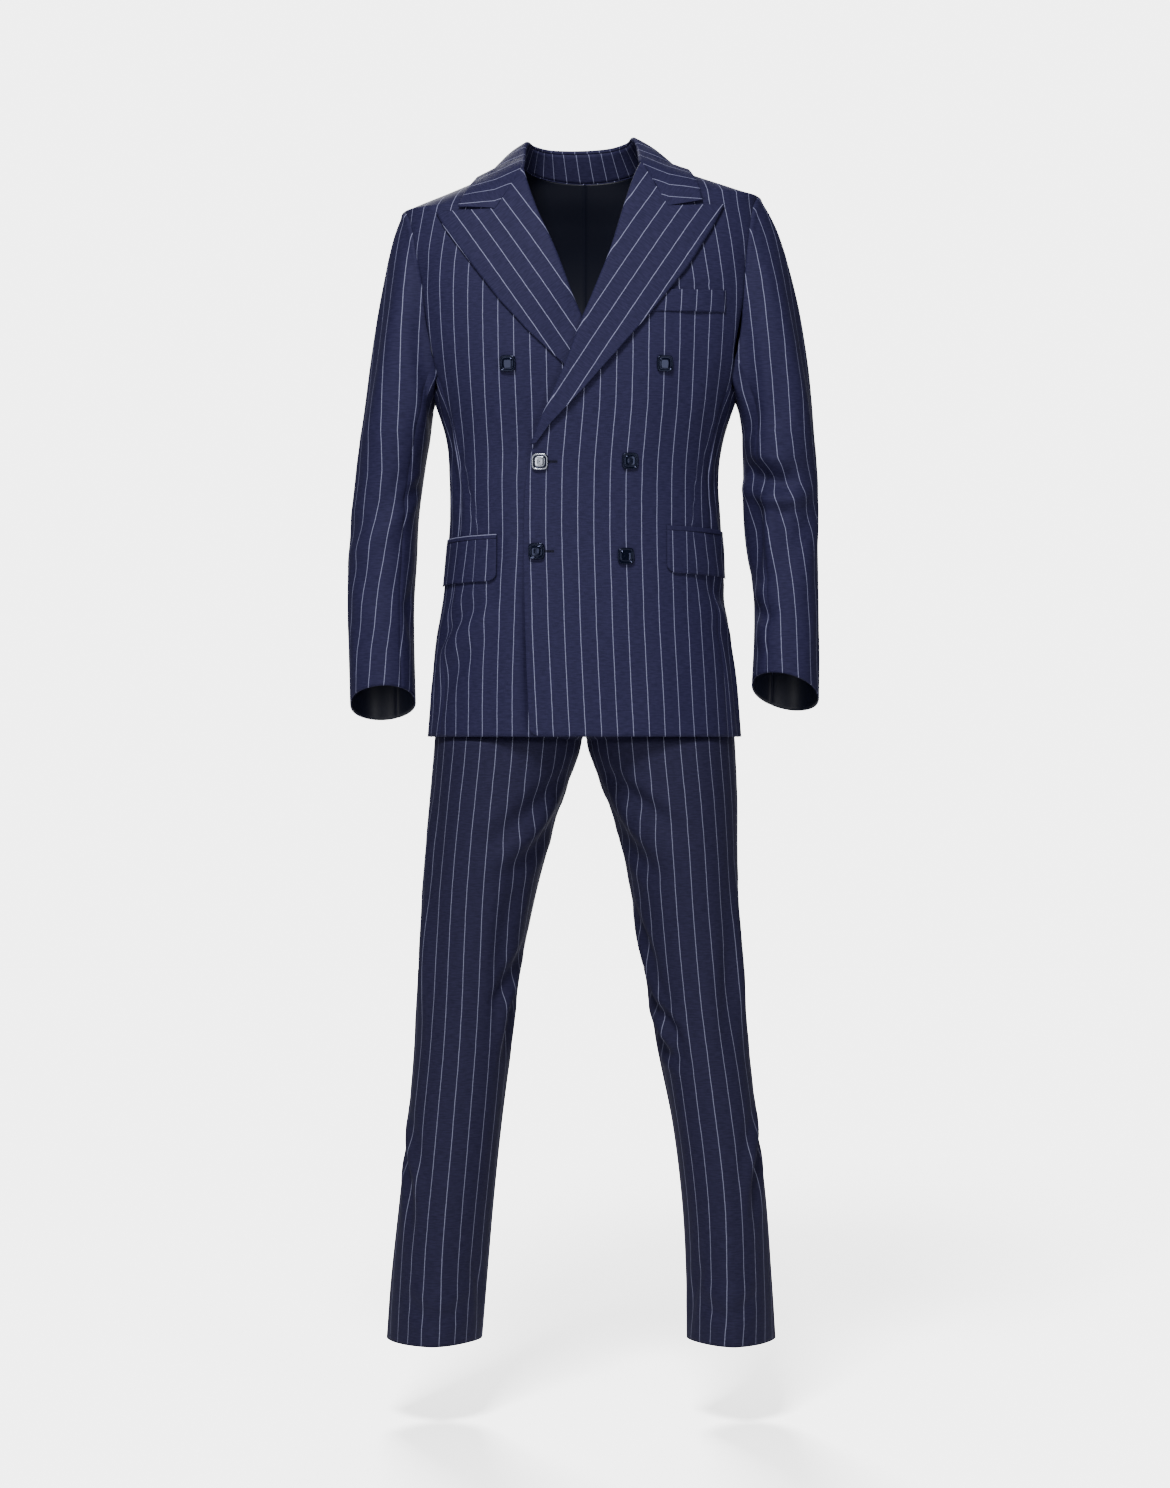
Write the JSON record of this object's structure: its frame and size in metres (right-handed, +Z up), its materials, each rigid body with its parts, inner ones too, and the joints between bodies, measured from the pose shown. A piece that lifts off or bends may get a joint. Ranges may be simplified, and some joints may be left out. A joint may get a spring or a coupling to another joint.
{
  "type": "double-breasted suit",
  "caption": "Worn two-piece suit: peak-lapel double-breasted jacket over straight trousers, hollow and open at neck, cuffs and hems.",
  "frame": {"origin": "between the neck ends of the two shoulder seams, where the wearer's shoulders carry the jacket", "axes": "+Z up along the standing wearer, -Y the way the wearer faces, +X to the wearer's left"},
  "size_m": [0.5886, 0.2597, 1.5025],
  "materials": {
    "wool": "navy worsted wool with thin pale stripes",
    "lapel_wool": "the same striped navy wool, faced over",
    "button": "glossy black-navy with a stepped rim"
  },
  "bodies": {
    "root": {"chest_welt": "wool", "jacket_back_left": "wool", "jacket_back_right": "wool", "jacket_front_left": "wool", "jacket_front_right": "wool", "jacket_side_left": "wool", "jacket_side_right": "wool", "pocket_flap_left": "wool", "pocket_flap_right": "wool", "pocket_jet_left": "wool", "pocket_jet_right": "wool", "sleeve_top_left": "wool", "sleeve_top_right": "wool", "sleeve_under_left": "wool", "sleeve_under_right": "wool", "trouser_back_left": "wool", "trouser_back_right": "wool", "trouser_front_left": "wool", "trouser_front_right": "wool", "waistband_left": "wool", "waistband_right": "wool", "collar_fall": "lapel_wool", "collar_stand": "lapel_wool", "lapel_left": "lapel_wool", "lapel_right": "lapel_wool", "button_upper_left": "button", "button_upper_right": "button", "button_middle_left": "button", "button_middle_right": "button", "button_lower_left": "button", "button_lower_right": "button"}
  },
  "joints": []
}
